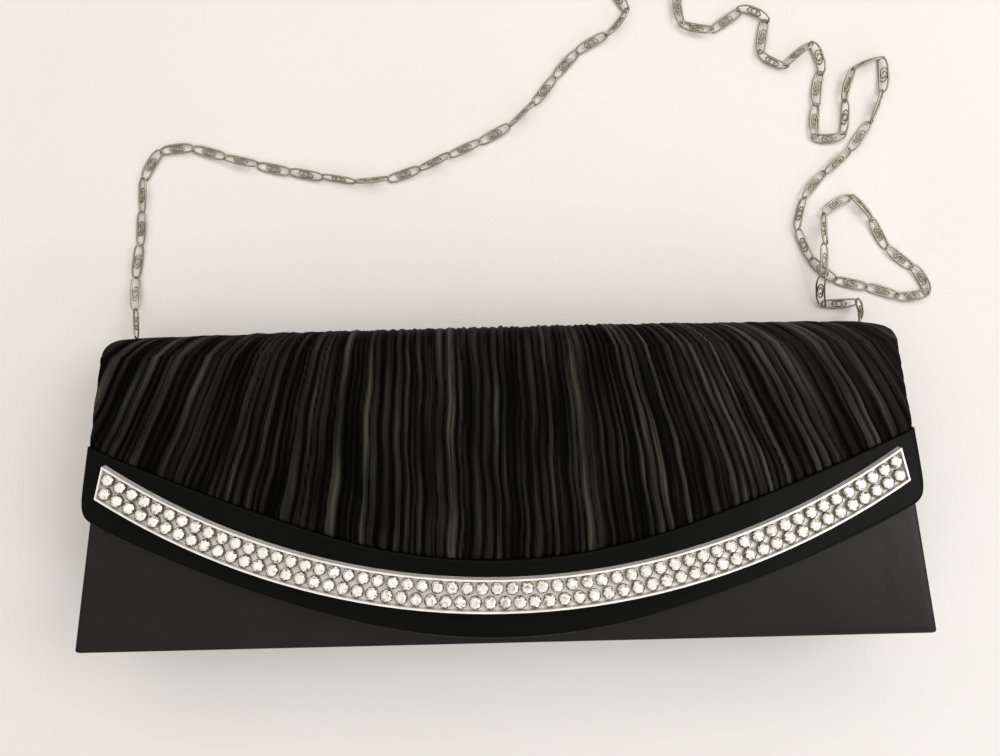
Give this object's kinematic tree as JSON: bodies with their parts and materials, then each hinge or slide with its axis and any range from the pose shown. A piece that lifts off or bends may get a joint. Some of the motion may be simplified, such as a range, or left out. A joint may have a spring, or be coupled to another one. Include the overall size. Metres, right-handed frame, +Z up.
{
  "type": "evening bag",
  "caption": "Slim rigid evening bag with a pleated satin flap, a curved crystal bar, a magnetic snap and a chain strap; lies on its back with the flap closed.",
  "frame": {"origin": "centre of the bag's box, without its chain, on the surface it lies on", "axes": "+X along the bag's width, to the right seen from the flap side with the mouth up; +Y from the bottom of the bag to its mouth and fold; +Z up, out of the front panel"},
  "size_m": [0.2803, 0.2553, 0.0527],
  "materials": {
    "board": "plain",
    "black_satin": "satin",
    "foam": "matt",
    "lining": "soft satin",
    "ribbon": "grosgrain",
    "bar_metal": "bright plated",
    "cup_metal": "bright",
    "crystal": "cut and polished",
    "snap_metal": "bright",
    "magnet": "plain",
    "ring_metal": "bright plated",
    "chain_metal": "bright plated"
  },
  "bodies": {
    "case": {"back_board": "board", "bottom_board": "board", "front_board": "board", "left_gusset_board": "board", "right_gusset_board": "board", "back_cover": "black_satin", "bottom_cover": "black_satin", "front_cover": "black_satin", "left_gusset_cover": "black_satin", "right_gusset_cover": "black_satin", "front_padding": "foam", "back_lining": "lining", "bottom_lining": "lining", "front_lining": "lining", "left_gusset_lining": "lining", "right_gusset_lining": "lining", "slip_pocket": "lining", "snap_socket": "snap_metal", "snap_magnet": "magnet", "snap_socket_washer": "snap_metal", "left_ring_tab": "ribbon", "right_ring_tab": "ribbon", "left_ring": "ring_metal", "right_ring": "ring_metal", "chain_left": "chain_metal", "chain_coil": "chain_metal", "chain_right": "chain_metal"},
    "top_strip": {"strip_board": "board", "strip_lining": "lining", "strip_padding": "foam", "strip_cover": "black_satin"},
    "flap": {"flap_lining": "lining", "flap_board": "board", "flap_padding": "foam", "flap_pleated_cover": "black_satin", "flap_band": "black_satin", "bar_casing": "bar_metal", "upper_cups": "cup_metal", "lower_cups": "cup_metal", "upper_crystals": "crystal", "lower_crystals": "crystal", "bar_studs": "bar_metal", "bar_washers": "bar_metal", "snap_stud": "snap_metal", "snap_stud_washer": "snap_metal"}
  },
  "joints": [
    {"name": "top_fold", "type": "hinge", "parent": "case", "child": "top_strip", "pos_m": [0, 0.0475, 0], "axis": [-1, 0, 0], "range_deg": [0, 45]},
    {"name": "flap_fold", "type": "hinge", "parent": "top_strip", "child": "flap", "pos_m": [0, 0.0475, 0.02644], "axis": [-1, 0, 0], "range_deg": [0, 110]}
  ]
}
